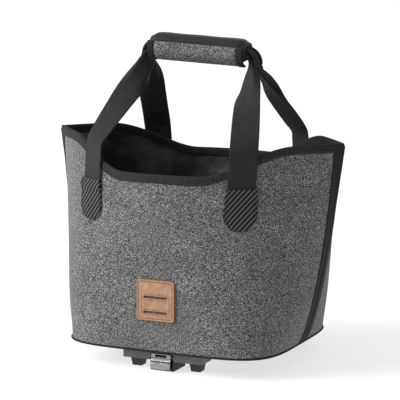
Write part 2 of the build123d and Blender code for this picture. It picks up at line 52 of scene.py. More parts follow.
# The bag's wall. Heights are counted from the underside of the bag.
BASE_HALF_LENGTH = 160.0
BASE_HALF_WIDTH = 140.0
TIP_REACH = 223.0
RIM_HALF_DEPTH = 137.0
TIP_HEIGHT = 293.0
DIP_HEIGHT = 253.0
DIP_HALF_LENGTH = 59.0
TIP_START = 173.0
FLARE = 0.65
SETTLE = 0.2
BASE_SQUARENESS = 7.0
MOUTH_ALONG = 1.95
MOUTH_ACROSS = 1.0
PIPING = 3.0
PANEL = 3.0
LINING = 1.2
BINDING = 1.2
FLOOR = 6.0

HANDLE_X = 114.0
ANCHOR_HEIGHT = 285.0
WEBBING = 2.4
WEBBING_WIDTH = 40.0
GRIP_CENTRE = Vector((3.0, 0.0, BASE_Z + 418.0))
GRIP_TILT = math.radians(2.2)
GRIP_LENGTH = 148.0
PAD_DEPTH = 36.0
PAD_HEIGHT = 34.0
PAD_CORNER = 14.0

LEATHER_X = -2.0
LEATHER_MIDDLE = 75.5


def smooth(share):
    """A share from 0 to 1 that starts and ends gently."""
    share = np.clip(share, 0.0, 1.0)
    return share * share * (3 - 2 * share)


def blend(low, high, share):
    return low + (high - low) * share


# ---- The wall as a table of outlines, each divided evenly along its length ----

COLUMNS = 481
HEIGHTS = PIPING + (300.0 - PIPING) * (np.arange(141) / 140) ** 1.4


def half_outline(height):
    """The back half of the outline at one height, from the left seam to the right seam."""
    rise = height / TIP_HEIGHT
    length = blend(BASE_HALF_LENGTH, TIP_REACH, rise**FLARE)
    depth = blend(BASE_HALF_WIDTH, RIM_HALF_DEPTH, rise)
    along = blend(BASE_SQUARENESS, MOUTH_ALONG, rise**SETTLE)
    across = blend(BASE_SQUARENESS, MOUTH_ACROSS, rise**SETTLE)
    turn = np.linspace(math.pi, 0, 1601)
    c, s = np.abs(np.cos(turn)) / length, np.sin(turn) / depth
    low, high = np.zeros_like(turn), np.full_like(turn, 2 * TIP_REACH)
    for _ in range(40):
        middle = (low + high) / 2
        outside = (middle * c) ** along + (middle * s) ** across > 1
        low, high = np.where(outside, low, middle), np.where(outside, middle, high)
    points = np.stack([low * np.cos(turn), low * np.sin(turn)], 1)
    steps = np.r_[0, np.cumsum(np.linalg.norm(np.diff(points, axis=0), axis=1))]
    even = np.linspace(0, steps[-1], COLUMNS)
    return np.stack([np.interp(even, steps, points[:, k]) for k in (0, 1)], 1), steps[-1]


ROWS = [half_outline(height) for height in HEIGHTS]
TABLE = np.array([row for row, _ in ROWS])
RING_LENGTH = np.array([length for _, length in ROWS])


def mouth(x):
    """Height of the mouth's edge."""
    share = smooth((np.abs(x) - DIP_HALF_LENGTH) / (TIP_START - DIP_HALF_LENGTH))
    return blend(DIP_HEIGHT, TIP_HEIGHT, share)


def flat_place(s, h, side):
    """The wall without its folds, at a share s along the outline and a height."""
    s, h = np.broadcast_arrays(np.asarray(s, float), np.asarray(h, float))
    column = np.clip(s, 0, 1) * (COLUMNS - 1)
    low = np.minimum(column.astype(int), COLUMNS - 2)
    across = (column - low)[..., None]
    level = np.interp(h, HEIGHTS, np.arange(len(HEIGHTS)))
    under = np.minimum(level.astype(int), len(HEIGHTS) - 2)
    upward = (level - under)[..., None]
    here = blend(TABLE[under, low], TABLE[under, low + 1], across)
    above = blend(TABLE[under + 1, low], TABLE[under + 1, low + 1], across)
    xy = blend(here, above, upward)
    return np.stack([xy[..., 0], side * xy[..., 1], BASE_Z + h], -1)


def unit(v):
    return v / np.maximum(np.linalg.norm(v, axis=-1, keepdims=True), 1e-9)


def normal_at(s, h, side):
    s, h = np.broadcast_arrays(np.asarray(s, float), np.asarray(h, float))
    ds, dh = 0.004, 1.5
    along = flat_place(np.minimum(s + ds, 1), h, side) - flat_place(np.maximum(s - ds, 0), h, side)
    up = flat_place(s, np.minimum(h + dh, 300), side) - flat_place(s, np.maximum(h - dh, PIPING), side)
    return unit(np.cross(along, up)) * -side


def sag(s, h, side):
    """How far the soft wall stands out: a slight belly, with shallow folds that die out at the seams."""
    place = flat_place(s, h, side)
    x = place[..., 0]
    room = smooth((h - PIPING) / 45) * smooth((mouth(x) - 8 - h) / 55)
    room = room * smooth(np.minimum(s, 1 - s) / 0.22)
    if side < 0:
        near_patch = np.maximum(np.abs(x - LEATHER_X), np.abs(h - LEATHER_MIDDLE))
        room = room * blend(0.12, 1.0, smooth((near_patch - 26) / 40))
    phase = 1.7 * side
    folds = 1.3 * np.sin(x / 43 + h / 90 + phase) * np.sin(h / 63 + 0.6)
    folds = folds + 0.7 * np.sin(x / 23 - h / 47 + 2 * phase) * np.sin(h / 39 + x / 120)
    pull = 1.1 * np.sin((np.abs(x) - HANDLE_X) / 9) * np.exp(-(((np.abs(x) - HANDLE_X) / 30) ** 2))
    pull = pull * np.exp(-(((h - 165) / 38) ** 2))
    return room * (1.0 + folds + pull)


def on_wall(s, h, side, out=0.0):
    s, h = np.broadcast_arrays(np.asarray(s, float), np.asarray(h, float))
    shift = np.asarray(out, float) + sag(s, h, side)
    place = flat_place(s, h, side) + normal_at(s, h, side) * shift[..., None]
    place[..., 1] = side * np.maximum(side * place[..., 1], 0.02)
    return place


def share_at(x, h):
    """The share along the outline at which the wall has a given x."""
    x, h = np.broadcast_arrays(np.asarray(x, float), np.asarray(h, float))
    level = np.interp(h, HEIGHTS, np.arange(len(HEIGHTS)))
    flat = np.empty(x.size)
    shares = np.linspace(0, 1, COLUMNS)
    for i, (value, row) in enumerate(zip(x.ravel(), level.ravel())):
        under = min(int(row), len(HEIGHTS) - 2)
        xs = blend(TABLE[under, :, 0], TABLE[under + 1, :, 0], row - under)
        flat[i] = np.interp(value, xs, shares)
    return flat.reshape(x.shape)


def edge_height(s, drop=0.0):
    """Height of the mouth's edge at a share along the outline, less a drop."""
    h = np.full(np.shape(s), DIP_HEIGHT)
    for _ in range(30):
        h = mouth(flat_place(s, h, 1)[..., 0])
    return h - drop


def seam_place(end, d, h, out):
    """A point beside a side seam, d along the wall from it, and negative on the front."""
    d, h = np.broadcast_arrays(np.asarray(d, float), np.asarray(h, float))
    away = np.abs(d) / np.interp(h, HEIGHTS, RING_LENGTH)
    s = away if end < 0 else 1 - away
    front, back = flat_place(s, h, -1), flat_place(s, h, 1)
    place = np.where((d < 0)[..., None], front, back)
    share = smooth((d + 7) / 14)[..., None]
    normal = unit(blend(normal_at(s, h, -1), normal_at(s, h, 1), share))
    shift = np.asarray(out, float) + np.where(d < 0, sag(s, h, -1), sag(s, h, 1))
    return place + normal * np.broadcast_to(shift, d.shape)[..., None]


# ---- Materials ----


def material(name, metallic=0.0, sheen=0.0, coat=0.0, specular=0.5):
    made = bpy.data.materials.new(name)
    made.use_nodes = True
    tree = made.node_tree
    shader = tree.nodes["Principled BSDF"]
    shader.inputs["Metallic"].default_value = metallic
    shader.inputs["Sheen Weight"].default_value = sheen
    shader.inputs["Sheen Roughness"].default_value = 0.4
    shader.inputs["Coat Weight"].default_value = coat
    shader.inputs["Specular IOR Level"].default_value = specular
    return made, tree, shader


def coordinates(tree, source, scale, turn=(0, 0, 0)):
    where = tree.nodes.new("ShaderNodeTexCoord")
    mapping = tree.nodes.new("ShaderNodeMapping")
    mapping.inputs["Scale"].default_value = scale
    mapping.inputs["Rotation"].default_value = turn
    tree.links.new(where.outputs[source], mapping.inputs["Vector"])
    return mapping.outputs["Vector"]


def noise(tree, vector, scale, detail=2.0, roughness=0.6):
    node = tree.nodes.new("ShaderNodeTexNoise")
    node.inputs["Scale"].default_value = scale
    node.inputs["Detail"].default_value = detail
    node.inputs["Roughness"].default_value = roughness
    tree.links.new(vector, node.inputs["Vector"])
    return node.outputs["Fac"]


def wave(tree, vector, scale, direction, distortion=0.0):
    node = tree.nodes.new("ShaderNodeTexWave")
    node.bands_direction = direction
    node.inputs["Scale"].default_value = scale
    node.inputs["Distortion"].default_value = distortion
    tree.links.new(vector, node.inputs["Vector"])
    return node.outputs["Fac"]


def ramp(tree, value, stops):
    node = tree.nodes.new("ShaderNodeValToRGB")
    elements = node.color_ramp.elements
    while len(elements) < len(stops):
        elements.new(0.5)
    for element, (position, colour) in zip(elements, stops):
        element.position = position
        element.color = (*colour, 1) if len(colour) == 3 else (colour[0],) * 3 + (1,)
    tree.links.new(value, node.inputs["Fac"])
    return node.outputs["Color"]


def arithmetic(tree, operation, a, b):
    node = tree.nodes.new("ShaderNodeMath")
    node.operation = operation
    for socket, value in zip(node.inputs, (a, b)):
        if isinstance(value, (int, float)):
            socket.default_value = value
        else:
            tree.links.new(value, socket)
    return node.outputs["Value"]


def weighted(tree, *parts):
    """The sum of two values, each times its weight."""
    first, second = (arithmetic(tree, "MULTIPLY", value, weight) for value, weight in parts)
    return arithmetic(tree, "ADD", first, second)


def mix(tree, share, a, b, kind="MIX"):
    node = tree.nodes.new("ShaderNodeMix")
    node.data_type = "RGBA"
    node.blend_type = kind
    # Sockets 6 and 7 are the two colours, and output 2 is the colour that comes out.
    for socket, value in ((node.inputs["Factor"], share), (node.inputs[6], a), (node.inputs[7], b)):
        if isinstance(value, float):
            socket.default_value = value
        elif isinstance(value, tuple):
            socket.default_value = (*value, 1)
        else:
            tree.links.new(value, socket)
    return node.outputs[2]


def bump(tree, shader, height, strength, distance):
    node = tree.nodes.new("ShaderNodeBump")
    node.inputs["Strength"].default_value = strength
    node.inputs["Distance"].default_value = distance
    tree.links.new(height, node.inputs["Height"])
    tree.links.new(node.outputs["Normal"], shader.inputs["Normal"])


def melange(name, level=1.0):
    made, tree, shader = material(name, sheen=0.15, specular=0.25)
    place = coordinates(tree, "Object", (1, 1, 1))
    slanted = coordinates(tree, "Object", (1.0, 1.0, 2.4), (0.0, 0.75, 0.0))
    speckle = noise(tree, place, 680, 2.0, 0.75)
    fibre = noise(tree, slanted, 560, 2.0, 0.7)
    patchy = noise(tree, slanted, 330, 3.0, 0.6)
    fibres = weighted(tree, (fibre, 0.35), (patchy, 0.3))
    both = arithmetic(tree, "ADD", arithmetic(tree, "MULTIPLY", speckle, 0.35), fibres)
    cloudy = noise(tree, place, 26, 3.0, 0.5)
    stops = [(0.4, 0.01), (0.46, 0.05), (0.505, 0.14), (0.55, 0.32), (0.62, 0.62)]
    colour = ramp(tree, both, [(p, (v * level,)) for p, v in stops])
    tint = ramp(tree, cloudy, [(0.3, (0.88,)), (0.7, (1.08,))])
    tree.links.new(mix(tree, 1.0, colour, tint, "MULTIPLY"), shader.inputs["Base Color"])
    rough = ramp(tree, speckle, [(0.3, (0.95,)), (0.7, (0.82,))])
    tree.links.new(rough, shader.inputs["Roughness"])
    bump(tree, shader, both, 0.55, 0.0005)
    return made


def black_cloth(name, dark, light, rough, grain=900.0, sheen=0.2, specular=0.3):
    """A dark woven cloth with a little light fibre on it."""
    made, tree, shader = material(name, sheen=sheen, specular=specular)
    place = coordinates(tree, "Object", (1, 1, 1))
    fine = noise(tree, place, grain, 2.0, 0.7)
    broad = noise(tree, place, 35, 2.0, 0.5)
    colour = ramp(tree, fine, [(0.35, (dark,)), (0.7, (light,))])
    tint = ramp(tree, broad, [(0.3, (0.8,)), (0.7, (1.15,))])
    tree.links.new(mix(tree, 1.0, colour, tint, "MULTIPLY"), shader.inputs["Base Color"])
    matt = ramp(tree, broad, [(0.3, (rough,)), (0.7, (rough * 1.15,))])
    tree.links.new(matt, shader.inputs["Roughness"])
    bump(tree, shader, fine, 0.45, 0.0003)
    return made


def coated(name):
    """The coated lining: smooth, with a soft gloss and a fine crumple, its colour painted lighter on the
    crests of the broad folds and darker in their hollows as painted highlight and shade.
    """
    made, tree, shader = material(name, specular=0.45)
    place = coordinates(tree, "Object", (1, 1, 1))
    crumple = noise(tree, place, 38, 3.0, 0.55)
    fold = noise(tree, place, 13, 2.0, 0.5)
    weave = noise(tree, place, 1600, 1.0, 0.5)
    creases = weighted(tree, (crumple, 0.3), (fold, 0.7))
    both = arithmetic(tree, "ADD", arithmetic(tree, "MULTIPLY", weave, 0.01), creases)
    # Painted highlight and shade: the colour follows the fold noise that also raises the bump, light on
    # the crests and dark in the hollows.
    colour = ramp(tree, fold, [(0.35, (0.018,)), (0.52, (0.05,)), (0.66, (0.13,))])
    tree.links.new(colour, shader.inputs["Base Color"])
    tree.links.new(ramp(tree, crumple, [(0.3, (0.34,)), (0.7, (0.5,))]), shader.inputs["Roughness"])
    bump(tree, shader, both, 0.7, 0.02)
    return made


def webbing(name, dark, light):
    """Woven strap: fine ribs across it and a slanted weave, in the strap's own coordinates (cm)."""
    made, tree, shader = material(name, sheen=0.06, specular=0.2)
    place = coordinates(tree, "UV", (1, 1, 1))
    ribs = wave(tree, place, 3.4, "Y", 1.2)
    slant = wave(tree, coordinates(tree, "UV", (1, 1, 1), (0, 0, 0.7)), 1.3, "X", 0.8)
    weave = arithmetic(tree, "MULTIPLY_ADD", ribs, 0.6)
    tree.links.new(arithmetic(tree, "MULTIPLY", slant, 0.4), weave.node.inputs[2])
    broad = noise(tree, place, 0.9, 3.0, 0.6)
    colour = ramp(tree, weave, [(0.2, (dark,)), (0.9, (light,))])
    tint = ramp(tree, broad, [(0.3, (0.78,)), (0.7, (1.2,))])
    tree.links.new(mix(tree, 1.0, colour, tint, "MULTIPLY"), shader.inputs["Base Color"])
    tree.links.new(ramp(tree, weave, [(0, (0.78,)), (1, (0.62,))]), shader.inputs["Roughness"])
    bump(tree, shader, weave, 0.5, 0.0004)
    return made


def striped(name):
    """Patch cloth with raised slanted ribs, in the patch's own coordinates (cm)."""
    made, tree, shader = material(name, sheen=0.02, specular=0.25)
    ribs = wave(tree, coordinates(tree, "UV", (1, 1, 1), (0, 0, -0.87)), 0.6, "Y")
    fine = noise(tree, coordinates(tree, "UV", (1, 1, 1)), 9, 2.0, 0.6)
    colour = ramp(tree, ribs, [(0.5, (0.004,)), (0.76, (0.008,)), (0.93, (0.125,))])
    tint = ramp(tree, fine, [(0.3, (0.7,)), (0.7, (1.25,))])
    tree.links.new(mix(tree, 1.0, colour, tint, "MULTIPLY"), shader.inputs["Base Color"])
    tree.links.new(ramp(tree, ribs, [(0, (0.7,)), (1, (0.45,))]), shader.inputs["Roughness"])
    bump(tree, shader, ribs, 0.8, 0.0008)
    return made


def leather(name):
    made, tree, shader = material(name, coat=0.08, specular=0.4)
    place = coordinates(tree, "Object", (1, 1, 1))
    grain = tree.nodes.new("ShaderNodeTexVoronoi")
    grain.inputs["Scale"].default_value = 1100
    tree.links.new(place, grain.inputs["Vector"])
    fibre = noise(tree, place, 160, 4.0, 0.6)
    tans = [(0.25, (0.3, 0.15, 0.078)), (0.5, (0.385, 0.207, 0.116)), (0.75, (0.475, 0.28, 0.172))]
    colour = ramp(tree, fibre, tans)
    # Darker along the patch's outer edge and round its slots, and painted shade in the stitched groove
    # near the edge.
    edge = tree.nodes.new("ShaderNodeAttribute")
    edge.attribute_name = "dark_edges_and_groove_shade"
    colour_with_dark_edges_groove_shade = mix(tree, edge.outputs["Fac"], colour, (0.2, 0.085, 0.04))
    tree.links.new(colour_with_dark_edges_groove_shade, shader.inputs["Base Color"])
    tree.links.new(ramp(tree, fibre, [(0.3, (0.42,)), (0.7, (0.58,))]), shader.inputs["Roughness"])
    bump(tree, shader, grain.outputs["Distance"], 0.3, 0.0003)
    return made


def plastic(name, dark, light, rough, tint=(1.0, 1.0, 1.0)):
    """A fine-grained matt surface with faint scuffs, also used for the board and the brown thread."""
    made, tree, shader = material(name, specular=0.5)
    where = coordinates(tree, "Object", (1, 1, 1))
    fine = noise(tree, where, 1400, 2.0, 0.6)
    scuff = noise(tree, where, 60, 4.0, 0.65)
    levels = ((0.3, dark), (0.75, light))
    stops = [(place, tuple(level * part for part in tint)) for place, level in levels]
    tree.links.new(ramp(tree, scuff, stops), shader.inputs["Base Color"])
    matt = ramp(tree, scuff, [(0.3, (rough,)), (0.7, (rough * 1.25,))])
    tree.links.new(matt, shader.inputs["Roughness"])
    bump(tree, shader, fine, 0.3, 0.00015)
    return made


def steel(name, dark, light):
    made, tree, shader = material(name, metallic=1.0)
    brushed = noise(tree, coordinates(tree, "Object", (0.05, 1, 1)), 2600, 2.0, 0.6)
    scuff = noise(tree, coordinates(tree, "Object", (1, 1, 1)), 150, 3.0, 0.6)
    tree.links.new(ramp(tree, scuff, [(0.3, (dark,)), (0.7, (light,))]), shader.inputs["Base Color"])
    tree.links.new(ramp(tree, brushed, [(0.3, (0.26,)), (0.7, (0.42,))]), shader.inputs["Roughness"])
    bump(tree, shader, brushed, 0.15, 0.0001)
    return made


MELANGE = melange("melange_cloth", 0.74)
MELANGE_GRIP = melange("melange_grip", 0.75)
BINDING_CLOTH = black_cloth("binding_cloth", 0.01, 0.032, 0.7, 700, 0.04, 0.2)
BAND_CLOTH = black_cloth("band_cloth", 0.008, 0.026, 0.75, 900, 0.06, 0.2)
PAD_CLOTH = black_cloth("pad_cloth", 0.008, 0.02, 0.7, 1100)
TAPE_HOOK = black_cloth("hook_and_loop", 0.006, 0.03, 0.95, 1800)
BASE_CLOTH = black_cloth("base_cloth", 0.006, 0.016, 0.7, 600, 0.04, 0.2)
THREAD = black_cloth("black_thread", 0.02, 0.06, 0.6, 2500)
LINING_CLOTH = coated("lining_cloth")
WEBBING_CLOTH = webbing("webbing", 0.002, 0.042)
STRIPED = striped("striped_patch")
LEATHER_TAN = leather("tan_leather")
THREAD_BROWN = plastic("brown_thread", 0.09, 0.17, 0.7, (1.0, 0.42, 0.2))
PLASTIC = plastic("black_plastic", 0.026, 0.05, 0.42)
PLASTIC_BEAM = plastic("beam_plastic", 0.08, 0.12, 0.4)
PLASTIC_FOOT = plastic("foot_plastic", 0.009, 0.018, 0.5)
BOARD = plastic("board", 0.10, 0.16, 0.75)
STEEL = steel("steel", 0.24, 0.4)
STEEL_DARK = steel("screw_steel", 0.22, 0.34)


# ---- Meshes ----


def make(name, points, faces, look, body, slot_name, uv=None, sharp=35):
    mesh = bpy.data.meshes.new(name)
    mesh.from_pydata((np.asarray(points, float) * MM).tolist(), [], [list(map(int, f)) for f in faces])
    built = bmesh.new()
    built.from_mesh(mesh)
    if uv is not None:
        layer = built.loops.layers.uv.new("UVMap")
        built.verts.ensure_lookup_table()
        for face in built.faces:
            for loop in face.loops:
                loop[layer].uv = uv[loop.vert.index]
    bmesh.ops.recalc_face_normals(built, faces=built.faces)
    built.to_mesh(mesh)
    built.free()
    mesh.polygons.foreach_set("use_smooth", [True] * len(mesh.polygons))
    mesh.set_sharp_from_angle(angle=math.radians(sharp))
    mesh.materials.append(look)
    made = bpy.data.objects.new(name, mesh)
    bpy.context.scene.collection.objects.link(made)
    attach(made, body)
    return made


def grid_faces(rows, columns, start=0, loop=False):
    faces = []
    for r in range(rows - 1):
        for c in range(columns if loop else columns - 1):
            n = (c + 1) % columns
            a, b = start + r * columns + c, start + r * columns + n
            faces.append((a, b, b + columns, a + columns))
    return faces


def slab(outer, inner, loop=False):
    """Points and faces of a closed sheet between two grids of the same size."""
    rows, columns = outer.shape[:2]
    count = rows * columns
    points = np.concatenate([outer.reshape(-1, 3), inner.reshape(-1, 3)])
    faces = grid_faces(rows, columns, 0, loop)
    faces += [f[::-1] for f in grid_faces(rows, columns, count, loop)]
    for r in (0, rows - 1):
        for c in range(columns if loop else columns - 1):
            a, b = r * columns + c, r * columns + (c + 1) % columns
            faces.append((a, a + count, b + count, b))
    if not loop:
        for c in (0, columns - 1):
            for r in range(rows - 1):
                a, b = r * columns + c, (r + 1) * columns + c
                faces.append((a, a + count, b + count, b))
    return points, faces


def tube(sections):
    """Points and faces of a capped tube through closed sections of equal point count."""
    rows, columns = sections.shape[:2]
    faces = grid_faces(rows, columns, 0, True)
    faces += [tuple(range(columns)), tuple((rows - 1) * columns + c for c in range(columns))]
    return sections.reshape(-1, 3), faces


def resample(path, step):
    path = np.asarray(path, float)
    steps = np.r_[0, np.cumsum(np.linalg.norm(np.diff(path, axis=0), axis=1))]
    count = max(int(round(steps[-1] / step)), 1)
    even = np.linspace(0, steps[-1], count + 1)
    return np.stack([np.interp(even, steps, path[:, k]) for k in range(3)], 1)


def stitches(paths, pitch=3.2, share=0.62, radius=0.38):
    """Short raised thread stitches along paths of (points, normals)."""
    points, faces = [], []
    ring = np.linspace(0, 2 * math.pi, 7)[:-1]
    # Along a stitch: reach in half lengths, then thickness and rise in radii.
    tip, shoulder = (0.35, -0.7), (0.85, -0.1)
    profile = [(-1.0, *tip), (-0.7, *shoulder), (0.0, 1.0, 0.35), (0.7, *shoulder), (1.0, *tip)]
    for path, normals in paths:
        path, normals = np.asarray(path, float), np.asarray(normals, float)
        steps = np.r_[0, np.cumsum(np.linalg.norm(np.diff(path, axis=0), axis=1))]
        count = max(int(steps[-1] / pitch), 1)
        for k in range(count):
            middle = (k + 0.5) * steps[-1] / count
            ends = [middle - pitch * share / 2, middle + pitch * share / 2]
            a, b = (np.array([np.interp(e, steps, path[:, i]) for i in range(3)]) for e in ends)
            n = unit(np.array([np.interp(middle, steps, normals[:, i]) for i in range(3)]))
            along = unit(b - a)
            wide = unit(np.cross(n, along))
            n = np.cross(along, wide)
            base = len(points)
            for reach, size, lift in profile:
                centre = (a + b) / 2 + (b - a) / 2 * reach + n * radius * lift
                for t in ring:
                    points.append(centre + (wide * math.cos(t) + n * math.sin(t)) * radius * size)
            faces += [tuple(base + i for i in f) for f in grid_faces(len(profile), len(ring), 0, True)]
            last = base + (len(profile) - 1) * len(ring)
            faces += [tuple(start + i for i in range(len(ring))) for start in (base, last)]
    return points, faces


def edge_lift(distance, radius):
    """Share of full thickness near a rounded edge."""
    near = np.clip(distance / radius, 0, 1)
    return np.sqrt(np.maximum(1 - (1 - near) ** 2, 0.0))


# ---- Bag ----

S = np.linspace(0, 1, 241)
SIDES = (("front", -1), ("back", 1))
ENDS = (("left", -1), ("right", 1))


def panel_grid(side, out, low, drop, rows=90):
    top = edge_height(S, drop)
    v = np.linspace(0, 1, rows)[:, None]
    h = blend(low, top[None, :], v)
    return on_wall(np.broadcast_to(S, h.shape), h, side, out)


for name, side in SIDES:
    outer = panel_grid(side, 0.0, PIPING - 1.5, BINDING + 0.3)
    inner = panel_grid(side, -PANEL, PIPING - 1.5, BINDING + 0.3)
    piece = make(f"bag_{name}", *slab(outer, inner), MELANGE, "bag", "melange_cloth")
    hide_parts(f"{name}_panel")


def closed_ring(h, out, wrinkle):
    """One whole ring of the wall, front then back."""
    front = on_wall(S, h, -1, out - wrinkle)
    back = on_wall(S[::-1], h[::-1], 1, out - wrinkle)
    return np.concatenate([front, back[1:-1]])


LINING_CORNER = 6.0
FLOOR_RINGS = (0.93, 0.85, 0.7, 0.5, 0.3, 0.12)


def lining_rows(offset, floor):
    """Rings of the lining from the mouth down, round its lower corner and in over the floor."""
    rows = []
    top = edge_height(S, 0.3 + BINDING)
    for v in np.linspace(1, 0, 70):
        h = blend(floor + LINING_CORNER, top, v)
        x = flat_place(S, h, 1)[:, 0]
        crease = np.sin(x / 27 + h / 19) * np.sin(h / 37 - x / 60) + 0.6 * np.sin(x / 13 - h / 29)
        room = smooth((top - 14 - h) / 30) * smooth((h - floor) / 30)
        room = room * smooth(np.minimum(S, 1 - S) / 0.1)
        rows.append(closed_ring(h, offset, (1.9 + 1.3 * crease) * room))
    corner = rows[-1]
    for turn in (0.35, 0.8, 1.2, math.pi / 2):
        ring = corner.copy()
        inward = LINING_CORNER * (1 - math.cos(turn))
        length = np.linalg.norm(ring[:, :2], axis=1, keepdims=True)
        ring[:, :2] *= 1 - inward / length
        ring[:, 2] = BASE_Z + floor + LINING_CORNER * (1 - math.sin(turn))
        rows.append(ring)
    floor_edge = rows[-1]
    for scale in FLOOR_RINGS:
        ring = floor_edge.copy()
        ring[:, :2] *= scale
        rows.append(ring)
    return np.array(rows)


outer, inner = lining_rows(-PANEL - 0.2, FLOOR), lining_rows(-PANEL - 0.2 - LINING, FLOOR + LINING)
inner[-1 - len(FLOOR_RINGS) :, :, 2] = BASE_Z + FLOOR + LINING
points, faces = slab(outer, inner, True)
piece = make("bag_lining", points, faces, LINING_CLOTH, "bag", "coated_cloth", sharp=50)
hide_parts("lining")

# The binding's section from outside to inside, as (out from the wall, drop from the mouth's edge).
BINDING_PROFILE = (
    (0.15, 12.0), (0.9, 12.1), (1.35, 11.5), (1.5, 9.5), (1.5, 6.0), (1.45, 3.0), (1.2, 1.2),
    (0.4, 0.25), (-1.2, 0.0), (-3.2, 0.0), (-4.7, 0.3), (-5.5, 1.3), (-5.75, 3.0), (-5.8, 6.0),
    (-5.8, 9.5), (-5.6, 11.5), (-5.1, 12.1), (-4.4, 12.0), (-4.2, 6.0), (-2.2, 1.4), (-0.6, 1.4),
    (0.1, 6.0),
)
FINE = np.linspace(0, 1, 721)
for name, side in SIDES:
    along = FINE * 560
    rings = []
    for out, drop in BINDING_PROFILE:
        proud = 0.22 * np.sin(along / 1.9) * (0.4 if out > 0 or out < -5 else 0.0)
        proud = proud + 0.25 * np.sin(along / 31 + side) * (1 if drop < 11 else 0.4)
        lower = 0.25 * np.sin(along / 17 + 2 * side) * (drop / 12)
        h = edge_height(FINE, drop) + lower
        rings.append(on_wall(FINE, h, side, out + proud * (1 if out > 0 else -1)))
    points, faces = tube(np.array(rings).transpose(1, 0, 2))
    piece = make(
        f"rim_binding_{name}_cloth", points, faces, BINDING_CLOTH, "bag", "coated_cloth", sharp=60)
    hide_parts(f"rim_binding_{name}")
    seam = edge_height(FINE, 9.8)
    normals = normal_at(FINE, seam, side)
    rows = [(on_wall(FINE, seam, side, 1.55), normals), (on_wall(FINE, seam, side, -5.8), -normals)]
    make(f"rim_stitches_{name}", *stitches(rows, 3.4, 0.6, 0.32), THREAD, "bag", "coated_cloth")

BAND_HALF = 15.0
STRIP_HALF = 3.0
for name, end in ENDS:
    h = np.linspace(PIPING + 0.5, TIP_HEIGHT - 4, 120)[:, None]
    d = np.linspace(-BAND_HALF, BAND_HALF, 41)[None, :]
    lift = edge_lift(BAND_HALF - np.abs(d), 1.4)
    ripple = 0.15 * np.sin(h / 21) * np.cos(d / 9)
    outer = seam_place(end, d, h, 0.15 + 1.2 * lift + ripple)
    inner = seam_place(end, d, h, 0.05)
    piece = make(f"side_band_{name}_cloth", *slab(outer, inner), BAND_CLOTH, "bag", "base_cloth")
    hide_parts(f"side_band_{name}")
    d = np.linspace(-STRIP_HALF, STRIP_HALF, 17)[None, :]
    outer = seam_place(end, d, h, 1.35 + 1.5 * edge_lift(STRIP_HALF - np.abs(d), STRIP_HALF))
    inner = seam_place(end, d, h, 1.2)
    piece = make(f"seam_piping_{name}", *slab(outer, inner), BINDING_CLOTH, "bag", "coated_cloth")
    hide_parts(f"seam_strip_{name}")
    line = h[:, 0]
    rows = []
    for d in (-12.6, 12.6, -5.0, 5.0):
        there = seam_place(end, np.full_like(line, d), line, 1.42)
        base = seam_place(end, np.full_like(line, d), line, 0.42)
        rows.append((there, unit(there - base)))
    make(f"band_stitches_{name}", *stitches(rows, 3.4, 0.6, 0.28), THREAD, "bag", "base_cloth")


def base_ring(out, height):
    """The wall's lower outline, grown by out and laid at one height."""
    front = flat_place(S, PIPING, -1) + normal_flat(S, -1) * out
    back = flat_place(S[::-1], PIPING, 1) + normal_flat(S[::-1], 1) * out
    ring = np.concatenate([front, back[1:-1]])
    ring[:, 2] = BASE_Z + height
    return ring


def normal_flat(s, side):
    """The outline's normal at the foot of the wall, laid level."""
    n = normal_at(s, np.full_like(s, PIPING + 2), side)
    n[:, 2] = 0
    return unit(n)


rings = []
for turn in np.linspace(0, 2 * math.pi, 15)[:-1]:
    rings.append(base_ring(0.15 + 1.5 * math.cos(turn), 1.6 + 1.5 * math.sin(turn)))
sections = np.array(rings)
faces = []
rows, columns = sections.shape[:2]
for r in range(rows):
    for c in range(columns):
        a, b = r * columns + c, r * columns + (c + 1) % columns
        e, f = ((r + 1) % rows) * columns + c, ((r + 1) % rows) * columns + (c + 1) % columns
        faces.append((a, b, f, e))
piece = make("bottom_edge_piping", sections.reshape(-1, 3), faces, BASE_CLOTH, "bag", "base_cloth")
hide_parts("bottom_piping")

outline = base_ring(-0.6, 0.0)
layers = []
BOTTOM_RINGS = (
    (0.02, 2.0), (0.5, 2.0), (0.9, 2.0), (1.0, 2.0), (1.0, 0.6),
    (0.97, 0.15), (0.85, 0.1), (0.5, 0.1), (0.02, 0.1),
)
for scale, height in BOTTOM_RINGS:
    ring = outline.copy()
    ring[:, :2] *= scale
    ring[:, 2] = BASE_Z + height
    layers.append(ring)
piece = make("bag_bottom", *tube(np.array(layers)), BASE_CLOTH, "bag", "base_cloth")
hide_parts("base_panel")

# The inner pocket hangs on the back lining, its hem standing a little away from it.
POCKET_HALF = 75.0
POCKET = (("inner_pocket", 95, 193, 0.0, LINING_CLOTH), ("pocket_hem", 193, 205, 0.5, BINDING_CLOTH))
x = np.linspace(-POCKET_HALF, POCKET_HALF, 91)
for name, low, high, wide, look in POCKET:
    h = np.linspace(low, high, 40)[:, None]
    away = 1.6 + 3.2 * smooth((h - 130) / 75) * np.cos(x / POCKET_HALF * math.pi / 2)[None, :] ** 0.7
    away = away + 0.5 * np.sin(x / 17)[None, :] * smooth((h - 110) / 60)
    s = share_at(x, h)
    tall = np.broadcast_to(h, s.shape)
    outer = on_wall(s, tall, 1, -8.6 - away + wide)
    inner = on_wall(s, tall, 1, -9.4 - away - wide)
    piece = make(f"{name}_cloth", *slab(outer, inner), look, "bag", "coated_cloth")
    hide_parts(name)


# ---- Straps ----


def bezier(points, share):
    rest = 1 - share
    a, b, c, d = points
    place = a * rest**3 + b * (3 * rest**2 * share) + c * (3 * rest * share**2) + d * share**3
    heading = (b - a) * (3 * rest**2) + (c - b) * (6 * rest * share) + (d - c) * (3 * share**2)
    return place, unit(heading)


